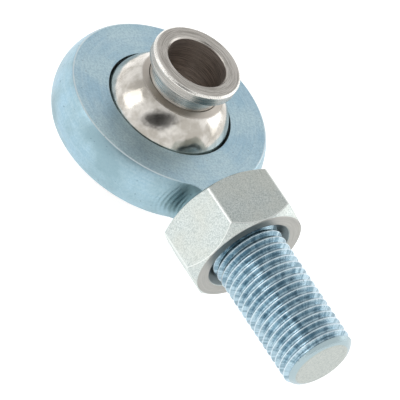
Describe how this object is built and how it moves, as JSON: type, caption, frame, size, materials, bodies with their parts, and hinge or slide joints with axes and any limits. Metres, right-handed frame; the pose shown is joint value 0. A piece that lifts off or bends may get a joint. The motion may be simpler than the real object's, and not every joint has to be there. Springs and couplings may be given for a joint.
{
  "type": "rod end bearing",
  "caption": "Male-thread rod end bearing: a steel eye on a threaded shank holds a tilting ball with flanged bushings in its bore, and a jam nut runs on the shank.",
  "frame": {"origin": "centre of the ball, on the axis of the bolt bore and on the axis of the threaded shank", "axes": "+X along the threaded shank away from the eye, +Z along the bolt bore out of the upper bushing"},
  "size_m": [0.068, 0.036, 0.025],
  "materials": {
    "zinc_body": "blue-white zinc plate over turned steel",
    "race_steel": "plain ground steel",
    "ball_chrome": "polished hard chrome",
    "bushing_steel": "fine turned stainless steel",
    "zinc_nut": "satin clear zinc plate"
  },
  "bodies": {
    "body": {"rod_end_body": "zinc_body"},
    "race": {"race": "race_steel"},
    "ball": {"ball": "ball_chrome"},
    "lower_bushing": {"lower_bushing": "bushing_steel"},
    "upper_bushing": {"upper_bushing": "bushing_steel"},
    "jam_nut": {"jam_nut": "zinc_nut"}
  },
  "joints": [
    {"name": "race_turn", "type": "hinge", "parent": "body", "child": "race", "pos_m": [0, 0, 0], "axis": [0, 0, 1], "continuous": true},
    {"name": "ball_tilt", "type": "hinge", "parent": "race", "child": "ball", "pos_m": [0, 0, 0], "axis": [1, 0, 0], "range_deg": [-30, 30]},
    {"name": "bushing_slide", "type": "slide", "parent": "ball", "child": "lower_bushing", "axis": [0, 0, 1], "range_m": [-0.003, 0]},
    {"name": "bushing_spin", "type": "hinge", "parent": "lower_bushing", "child": "upper_bushing", "pos_m": [0, 0, 0], "axis": [0, 0, 1], "continuous": true},
    {"name": "nut_travel", "type": "slide", "parent": "body", "child": "jam_nut", "axis": [1, 0, 0], "range_m": [0, 0.02125]}
  ]
}
